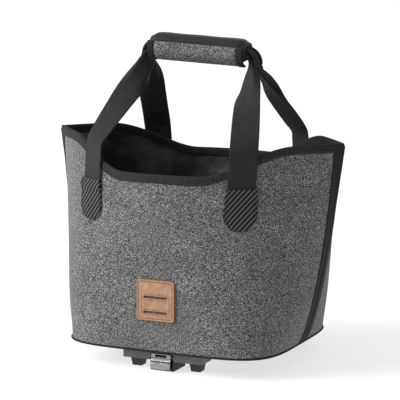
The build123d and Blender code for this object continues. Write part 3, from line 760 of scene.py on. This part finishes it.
def strap_section(fold):
    """The strap's cross-section: its two edges turn under as fold goes from 0 to 1."""
    half = WEBBING_WIDTH / 2
    t = np.linspace(-half, half, 45)
    centre = len(t) // 2
    turned = math.radians(172) * fold * smooth((np.abs(t) - 8.5) / 5.5)
    step = t[1] - t[0]
    angle = np.sign(t) * turned
    y = np.cumsum(np.cos(angle)) * step
    z = -np.cumsum(np.sin(angle)) * step
    middle = np.stack([y - y[centre], z - z[centre]], 1)
    ny, nz = np.sin(angle), np.cos(angle)
    lift = WEBBING / 2 * np.minimum(1, 0.35 + 0.65 * edge_lift(half - np.abs(t), 1.6))
    upper = middle + np.stack([ny * lift, nz * lift], 1)
    lower = middle - np.stack([ny * lift, nz * lift], 1)
    return np.concatenate([upper, lower[::-1]]), np.concatenate([t, t[::-1]])


def strap_mesh(name, stations, body="bag"):
    """A strap through stations of (centre, across, face, fold)."""
    sections, uv, travelled = [], [], 0.0
    last = None
    for centre, across, face, fold in stations:
        shape, t = strap_section(fold)
        sections.append(centre + shape[:, :1] * across + shape[:, 1:] * face)
        travelled += 0 if last is None else float(np.linalg.norm(centre - last))
        last = centre
        uv += [(value / 10, travelled / 10) for value in t]
    return make(name, *tube(np.array(sections)), WEBBING_CLOTH, body, "webbing", uv=uv, sharp=50)


def wall_frame(x, h, side):
    """A place on the wall, with its level, upward and outward directions."""
    s = share_at(np.array([x - 0.5, x, x + 0.5]), np.full(3, h))
    places = flat_place(s, np.full(3, h), side)
    level = unit(places[2] - places[0])
    above = flat_place(share_at(x, h + 0.5), h + 0.5, side)
    below = flat_place(share_at(x, h - 0.5), h - 0.5, side)
    up = unit(above - below)
    normal = unit(np.cross(level, up)) * -side
    return places[1], level, up, normal


TILT_OUT = np.array([math.cos(GRIP_TILT), 0, -math.sin(GRIP_TILT)])
TILT_UP = np.array([math.sin(GRIP_TILT), 0, math.cos(GRIP_TILT)])
BACKWARD = np.array([0.0, 1.0, 0.0])
CENTRE = np.array(GRIP_CENTRE)
LEG_RISE = 14.0
LEG_LIFT = 18.0
LEG_BEND = {(-1, -1): 7.5, (-1, 1): 15.0, (1, -1): 7.5, (1, 1): 20.0}  # by end and side
LEG_TWIST = 2.6
LEG_FOLD = 0.97
GRIP_ENTRY = 5.0
STRAP_LIFT = BINDING + 0.7 + WEBBING / 2
LAYER_HEIGHT = WEBBING + 0.2


def leg_stations(end, side):
    """A free leg: it leaves its panel, turns as it rises, and bends over into the end of the grip."""
    here, level, up, normal = wall_frame(end * HANDLE_X, ANCHOR_HEIGHT, side)
    start = here + normal * STRAP_LIFT
    outward = TILT_OUT * end
    radius = LEG_BEND[end, side]
    pivot = CENTRE + outward * (GRIP_LENGTH / 2 - GRIP_ENTRY) + TILT_UP * (side * LAYER_HEIGHT - radius)
    bend_start = pivot + outward * radius
    points = [start, start + up * LEG_RISE, bend_start - TILT_UP * LEG_LIFT, bend_start]
    first_turn = math.degrees(math.atan2(level[1], level[0]))
    last_turn = -90.0 * end
    stations = []
    for share in np.linspace(0, 1, 61)[:-1]:
        spot, heading = bezier(points, share)
        turn = math.radians(first_turn * (1 - share) ** 2 + last_turn * share**LEG_TWIST)
        across = np.array([math.cos(turn), math.sin(turn), 0])
        across = unit(across - heading * across.dot(heading))
        face = np.cross(across, heading)
        settled = float(smooth(share / 0.2))
        across = unit(blend(level, across, settled))
        face = unit(blend(normal * np.sign(face.dot(normal)), face, settled))
        fold = float(smooth((share - 0.5) / 0.5)) * LEG_FOLD
        stations.append((spot, across, face, fold))
    across = np.array([0.0, -end, 0.0])
    turned_face = np.sign(np.dot(stations[-1][2], outward))
    for angle in np.linspace(0, math.pi / 2, 13):
        spoke = outward * math.cos(angle) + TILT_UP * math.sin(angle)
        stations.append((pivot + spoke * radius, across, spoke * turned_face, LEG_FOLD))
    return stations


STRAP_LOW = 222.0
for side_name, side in SIDES:
    for end_name, end in ENDS:
        place = f"{side_name}_{end_name}"
        stations = []
        for h in np.linspace(STRAP_LOW, ANCHOR_HEIGHT, 26):
            here, level, up, normal = wall_frame(end * HANDLE_X, h, side)
            s = share_at(end * HANDLE_X, h)
            over = blend(0.4 + WEBBING / 2, STRAP_LIFT, smooth((h - 246) / 12))
            stations.append((here + normal * (over + float(sag(s, h, side))), level, normal, 0.0))
        piece = strap_mesh(f"strap_{place}", stations)
        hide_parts(f"sewn_strap_{place}")

        stations = leg_stations(end, side)
        piece = strap_mesh(f"leg_{place}", stations)
        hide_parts(f"strap_leg_{place}")
        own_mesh(piece)

# The straps run on inside the grip.
for name, side in SIDES:
    stations = []
    for share in np.linspace(-1, 1, 9):
        spot = CENTRE + TILT_OUT * (GRIP_LENGTH / 2 - GRIP_ENTRY) * share + TILT_UP * side * LAYER_HEIGHT
        stations.append((spot, BACKWARD, TILT_UP * -side, LEG_FOLD))
    piece = strap_mesh(f"strap_in_grip_{name}", stations, "grip")
    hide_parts(f"strap_middle_{name}")


PATCH_LOW = 178.0
PATCH_HEIGHT = 58.0
PATCH_RADIUS = 24.0
PATCH_TOP_HALF = 21.0
PATCH_OVER_STRAP = 2.9


def patch_half_width(v):
    """Half the width of a strap patch at v above its lower end: a round end, narrowing above it."""
    under = PATCH_RADIUS - np.minimum(v, PATCH_RADIUS)
    round_end = np.sqrt(np.maximum(PATCH_RADIUS**2 - under**2, 0.01))
    share = np.clip((v - PATCH_RADIUS) / (PATCH_HEIGHT - PATCH_RADIUS), 0, 1)
    return np.where(v < PATCH_RADIUS, round_end, blend(PATCH_RADIUS, PATCH_TOP_HALF, share))


for side_name, side in SIDES:
    for end_name, end in ENDS:
        place = f"{side_name}_{end_name}"
        v = PATCH_HEIGHT * (1 - np.cos(np.linspace(0.09, math.pi / 2, 40)))
        v = np.round(v, 4)[:, None]
        u = np.linspace(-1, 1, 45)[None, :]
        half = patch_half_width(v)
        across = half * u
        tall = np.broadcast_to(PATCH_LOW + v, across.shape)
        base_x = end * HANDLE_X
        slope = abs(wall_frame(base_x, 207, side)[1][0])
        s = share_at(base_x + across * slope, tall)
        inset = np.minimum(half * (1 - np.abs(u)), np.minimum(PATCH_HEIGHT + 0.6 - v, v + 0.3))
        welt = 0.5 * np.exp(-(((inset - 1.3) / 0.8) ** 2)) - 0.25 * np.exp(-(((inset - 3.2) / 0.9) ** 2))
        over = PATCH_OVER_STRAP * 0.9 * smooth((v - 40) / 6)
        outer = on_wall(s, tall, side, 0.5 + over + 1.9 * edge_lift(inset, 1.6) + welt)
        inner = on_wall(s, tall, side, 0.3)
        uv = [(a / 10, b / 10) for a, b in zip(across.ravel(), np.broadcast_to(v, across.shape).ravel())]
        piece = make(f"patch_{place}", *slab(outer, inner), STRIPED, "bag", "striped_patch", uv=uv + uv)
        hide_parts(f"strap_patch_{place}")
        bend = PATCH_RADIUS - 3.0
        turn = np.linspace(-math.pi, 0, 60)
        curve = [(bend * math.cos(a), PATCH_RADIUS + bend * math.sin(a)) for a in turn]
        stop = (PATCH_TOP_HALF - 2.6, PATCH_HEIGHT - 2.0)
        loop = resample([(a, b, 0) for a, b in ((-stop[0], stop[1]), *curve, stop)], 1.5)
        tall = PATCH_LOW + loop[:, 1]
        s = share_at(base_x + loop[:, 0] * slope, tall)
        lift = 2.5 + PATCH_OVER_STRAP * 0.9 * smooth((loop[:, 1] - 40) / 6)
        rows = [(on_wall(s, tall, side, lift), normal_at(s, tall, side))]
        make(f"patch_stitches_{place}", *stitches(rows, 2.9, 0.62, 0.34), THREAD, "bag", "striped_patch")


# ---- Grip ----


def rounded_section(depth, height, corner, count=96):
    """Points of a rounded rectangle in two axes, from the top, going round by the front."""
    a, b = depth / 2 - corner, height / 2 - corner
    turn = np.linspace(0, 2 * math.pi, 1201)
    y = -np.sign(np.sin(turn)) * a - corner * np.sin(turn)
    z = np.sign(np.cos(turn)) * b + corner * np.cos(turn)
    y[np.abs(np.sin(turn)) < 1e-9] = 0
    path = np.stack([y, z], 1)
    steps = np.r_[0, np.cumsum(np.linalg.norm(np.diff(path, axis=0), axis=1))]
    even = np.linspace(0, steps[-1], count + 1)[:-1]
    return np.stack([np.interp(even, steps, path[:, k]) for k in (0, 1)], 1)


def in_grip(x, y, z):
    """From the grip's own (along, y, up) to the shared frame."""
    x, y, z = np.broadcast_arrays(np.asarray(x, float), y, z)
    return CENTRE + x[..., None] * TILT_OUT + y[..., None] * BACKWARD + z[..., None] * TILT_UP


half = GRIP_LENGTH / 2
sections = []
slot_ring = rounded_section(23.2, 11.6, 3.0)  # the straps' way into the pad
outer_ring = rounded_section(PAD_DEPTH, PAD_HEIGHT, PAD_CORNER)
for x in np.linspace(-1, 1, 61):
    reach = abs(x) * half
    near = smooth((reach - (half - 13)) / 13)
    shape = blend(outer_ring, slot_ring, 0.42 * near**2)
    puff = 1 + 0.012 * math.cos(x * 9.0) * (1 - near)
    sections.append(in_grip(x * half, shape[:, 0] * puff, shape[:, 1] * puff))
for direction in (1, -1):
    cap = []
    for share, depth in ((0.62, 0.6), (0.85, 0.2), (1.0, -1.5), (1.0, -9.0)):
        shape = blend(outer_ring, slot_ring, share)
        cap.append(in_grip(direction * (half + depth - 0.4), shape[:, 0], shape[:, 1]))
    sections = sections + cap if direction > 0 else cap[::-1] + sections
piece = make("grip_padding", *tube(np.array(sections)), PAD_CLOTH, "grip", "pad_cloth", sharp=55)
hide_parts("grip_pad")


SECTION_POINTS = 400
GIRTH = 108.0


def round_front(out, low, high, count):
    """Part of the pad's section grown by out, between two shares of the way round it."""
    depth, height, corner = PAD_DEPTH + 2 * out, PAD_HEIGHT + 2 * out, PAD_CORNER + out
    ring = rounded_section(depth, height, corner, SECTION_POINTS)
    ring = np.concatenate([ring, ring[:1]])
    at = np.linspace(low, high, count) * SECTION_POINTS
    return np.stack([np.interp(at, np.arange(SECTION_POINTS + 1), ring[:, k]) for k in (0, 1)], 1)


def front_layer(name, inner, thickness, shares, reach, look, body, slot_name, puff=0.0, edge=1.2):
    """A layer of cloth on the front of the pad, over shares of its girth and a reach along it."""
    columns, rows = 61, 49
    x = np.linspace(*reach, columns)[None, :]
    share = np.linspace(0, 1, rows)[:, None]
    height = GIRTH * (shares[1] - shares[0])
    inset = np.minimum(np.minimum(x - reach[0], reach[1] - x), np.minimum(share, 1 - share) * height)
    base = round_front(inner, *shares, rows)
    away = unit(round_front(inner + 1.0, *shares, rows) - base)
    lift = thickness * (0.25 + 0.75 * edge_lift(inset, edge))
    lift = lift + puff * smooth(inset / 12) * (0.8 + 0.3 * np.sin(x / 13) * np.sin(share * 9))
    outer = in_grip(x, base[:, :1] + away[:, :1] * lift, base[:, 1:] + away[:, 1:] * lift)
    return make(name, *slab(outer, in_grip(x, base[:, :1], base[:, 1:])), look, body, slot_name)


# Shares of the way round the pad's section, from its top.
FLAP_SHARES = (0.204, 0.455)
FLAP_END_SHARES = (0.2, 0.459)
TAPE_SHARES = (0.225, 0.42)
FLAP_REACH = (9 - half, half - 9)
TAPE_REACH = (-60, 60)
piece = front_layer(
    "flap_cloth", 2.6, 2.5, FLAP_SHARES, FLAP_REACH, MELANGE_GRIP, "flap", "melange_cloth", puff=1.3)
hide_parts("grip_flap")
for name, reach in (("left", (-half, 10 - half)), ("right", (half - 10, half))):
    piece = front_layer(
        f"flap_end_{name}", 2.5, 3.4, FLAP_END_SHARES, reach, BAND_CLOTH, "flap", "base_cloth", edge=1.6)
    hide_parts(f"flap_binding_{name}")
for name, inner, body in (("hook_tape", 0.1, "grip"), ("loop_tape", 1.7, "flap")):
    piece = front_layer(
        f"{name}_cloth", inner, 0.9, TAPE_SHARES, TAPE_REACH, TAPE_HOOK, body, "hook_and_loop", edge=0.4)
    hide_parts(name)

# ---- Leather patch ----


SLOT_GAP = 21.5
SLOTS = (-6.5 + SLOT_GAP / 2, -6.5 - SLOT_GAP / 2)  # heights of the two slots, from the patch's middle
SLOT_HALF = 16.5
SLOT_RADIUS = 1.5
size = 59.0
corner = 5.0
cells = 117


def leather_place(u, v, out):
    """The wall under a point of the leather patch, counted from the patch's middle."""
    tall = LEATHER_MIDDLE + v
    s = share_at(LEATHER_X + u, tall)
    return on_wall(s, tall, -1, out)


# A square grid whose corner cells are drawn in to a round corner.
line = np.linspace(-size / 2, size / 2, cells)
u, v = np.meshgrid(line, line)
straight = size / 2 - corner
reach = np.maximum(np.abs(u), np.abs(v))
over = np.hypot(np.maximum(np.abs(u) - straight, 0), np.maximum(np.abs(v) - straight, 0))
both = (np.abs(u) > straight) & (np.abs(v) > straight)
factor = np.where(both, (reach - straight) / np.maximum(over, 1e-9), 1.0)
cu, cv = np.sign(u) * straight, np.sign(v) * straight
u2 = np.where(both, cu + (u - cu) * factor, u)
v2 = np.where(both, cv + (v - cv) * factor, v)
inset = np.where(both, corner - np.hypot(u2 - cu, v2 - cv), size / 2 - reach)
slot_room = np.full_like(u2, 99.0)
for height in SLOTS:
    away = np.hypot(np.maximum(np.abs(u2) - SLOT_HALF, 0), v2 - height) - SLOT_RADIUS
    slot_room = np.minimum(slot_room, away)
lift = 0.9 + 2.2 * np.minimum(edge_lift(inset, 1.1), edge_lift(np.maximum(slot_room, 0), 0.7))
lift = lift + 0.35 * np.exp(-(((inset - 1.2) / 0.8) ** 2)) - 0.3 * np.exp(-(((inset - 3.4) / 0.7) ** 2))
lift = lift - 0.35 * np.exp(-(((slot_room - 3.0) / 0.7) ** 2))
lift = np.where(slot_room < 0, 0.5, lift)
top = leather_place(u2, v2, lift)
bottom = leather_place(u2, v2, 0.3)
points, faces = slab(top, bottom)
count = cells * cells
open_faces = []
for f in faces:
    grid = [i % count for i in f]
    if len(set(grid)) == 4 and all(slot_room.ravel()[i] < 0.05 for i in grid):
        continue
    open_faces.append(f)
piece = make("leather_patch", points, open_faces, LEATHER_TAN, "bag", "tan_leather", sharp=60)
# How far the colour is darkened: along the outer edge and round the slots, plus painted shade in the
# stitched groove 3.4 mm in from the edge.
dark_edge_groove_shade_amount = np.maximum(np.exp(-((inset / 0.9) ** 2)), np.exp(-((np.maximum(slot_room, 0) / 0.7) ** 2))) * 0.75
dark_edge_groove_shade_amount = dark_edge_groove_shade_amount + 0.12 * np.exp(-(((inset - 3.4) / 0.8) ** 2))
attribute = piece.data.attributes.new("dark_edges_and_groove_shade", "FLOAT", "POINT")
attribute.data.foreach_set("value", np.tile(dark_edge_groove_shade_amount.ravel(), 2).astype(np.float32))
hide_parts("light_holder_patch")

rows = []


def leather_row(path, lift=2.95):
    """Adds one row of stitches along a path on the leather patch."""
    path = resample([(a, b, 0) for a, b in path], 1.0)
    place = leather_place(path[:, 0], path[:, 1], lift)
    s = share_at(LEATHER_X + path[:, 0], LEATHER_MIDDLE + path[:, 1])
    rows.append((place, normal_at(s, LEATHER_MIDDLE + path[:, 1], -1)))


ring = rounded_section(size - 6.8, size - 6.8, corner - 1.6, 200)
leather_row([*ring, ring[0]])
ROW_STEP = 3.9  # from a slot's middle to the stitches above and below it
for height in SLOTS:
    for step in (-ROW_STEP, ROW_STEP):
        leather_row([(-18.5, height + step), (18.5, height + step)], 2.9)
for x in (-21.5, 21.5):
    leather_row([(x, SLOTS[0] + ROW_STEP), (x, SLOTS[1] - ROW_STEP)], 3.0)
make("leather_stitches", *stitches(rows, 3.1, 0.62, 0.6), THREAD_BROWN, "bag", "tan_leather")


# ---- CAD nodes that stay: the adapter, its latch, the board and the fasteners ----

# Node: its material, and how far its edges are softened.
STAYING = {
    "adapter_plate": (PLASTIC, 0.5),
    "front_beam": (PLASTIC_BEAM, 0.7),
    "front_foot_left": (PLASTIC_FOOT, 0.6),
    "front_foot_right": (PLASTIC_FOOT, 0.6),
    "rear_hook_left": (PLASTIC_FOOT, 0.6),
    "rear_hook_right": (PLASTIC_FOOT, 0.6),
    "latch_housing": (PLASTIC_FOOT, 0.4),
    "latch_bolt": (PLASTIC_FOOT, 0.3),
    "release_lever": (STEEL, 0.45),
    "lever_pin": (STEEL, 0.2),
    "lever_spring": (STEEL_DARK, 0.0),
    "adapter_screws": (STEEL_DARK, 0.25),
    "board_inserts": (STEEL_DARK, 0.2),
    "base_board": (BOARD, 0.4),
}
for name, (look, round_edge) in STAYING.items():
    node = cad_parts[name]
    for at in range(max(len(node.data.materials), 1)):
        if len(node.material_slots) <= at:
            node.data.materials.append(look)
        node.material_slots[at].link = "OBJECT"
        node.material_slots[at].material = look
    if round_edge:
        soften = node.modifiers.new("edges", "BEVEL")
        soften.width = round_edge * MM
        soften.segments = 2
        soften.limit_method = "ANGLE"
        soften.angle_limit = math.radians(40)


# ---- Floor, light and camera ----

floor_mesh = bpy.data.meshes.new("floor")
floor_mesh.from_pydata([(-6, -6, 0), (6, -6, 0), (6, 6, 0), (-6, 6, 0)], [], [(0, 1, 2, 3)])
floor = bpy.data.objects.new("floor", floor_mesh)
bpy.context.scene.collection.objects.link(floor)
made, tree, shader = material("floor_paint", specular=0.1)
shader.inputs["Base Color"].default_value = (0.4, 0.4, 0.4, 1)
shader.inputs["Roughness"].default_value = 0.9
shader.inputs["Emission Color"].default_value = (1, 1, 1, 1)
shader.inputs["Emission Strength"].default_value = 0.7
floor_mesh.materials.append(made)

world = bpy.data.worlds.new("studio")
bpy.context.scene.world = world
world.use_nodes = True
tree = world.node_tree
backdrop = tree.nodes["Background"]
backdrop.inputs["Color"].default_value = (1, 1, 1, 1)
path = tree.nodes.new("ShaderNodeLightPath")
strength = tree.nodes.new("ShaderNodeMapRange")
strength.inputs["To Min"].default_value = 0.42  # for the light it gives
strength.inputs["To Max"].default_value = 1.0  # where the camera sees it
tree.links.new(path.outputs["Is Camera Ray"], strength.inputs["Value"])
tree.links.new(strength.outputs["Result"], backdrop.inputs["Strength"])

sun = bpy.data.lights.new("sun", "SUN")
sun.energy = 3.7
sun.angle = math.radians(36)
lamp = bpy.data.objects.new("sun", sun)
bpy.context.scene.collection.objects.link(lamp)
SUNWARD = Vector((-0.744, -0.447, 0.496))
lamp.rotation_euler = SUNWARD.to_track_quat("Z", "Y").to_euler()

AZIMUTH, ELEVATION, DISTANCE = math.radians(24.6), math.radians(9.92), 3.0
TARGET = Vector((0, 0, 0.229))
lens = bpy.data.cameras.new("camera")
lens.lens = 186.4
lens.sensor_width = 36
lens.shift_x = 0.00315
lens.shift_y = -0.0067
lens.clip_end = 50
camera = bpy.data.objects.new("camera", lens)
bpy.context.scene.collection.objects.link(camera)
level = math.cos(ELEVATION)
toward = Vector((math.sin(AZIMUTH) * level, -math.cos(AZIMUTH) * level, math.sin(ELEVATION)))
camera.location = TARGET + toward * DISTANCE
camera.rotation_euler = toward.to_track_quat("Z", "Y").to_euler()
bpy.context.scene.camera = camera
bpy.context.scene.view_settings.view_transform = "Standard"
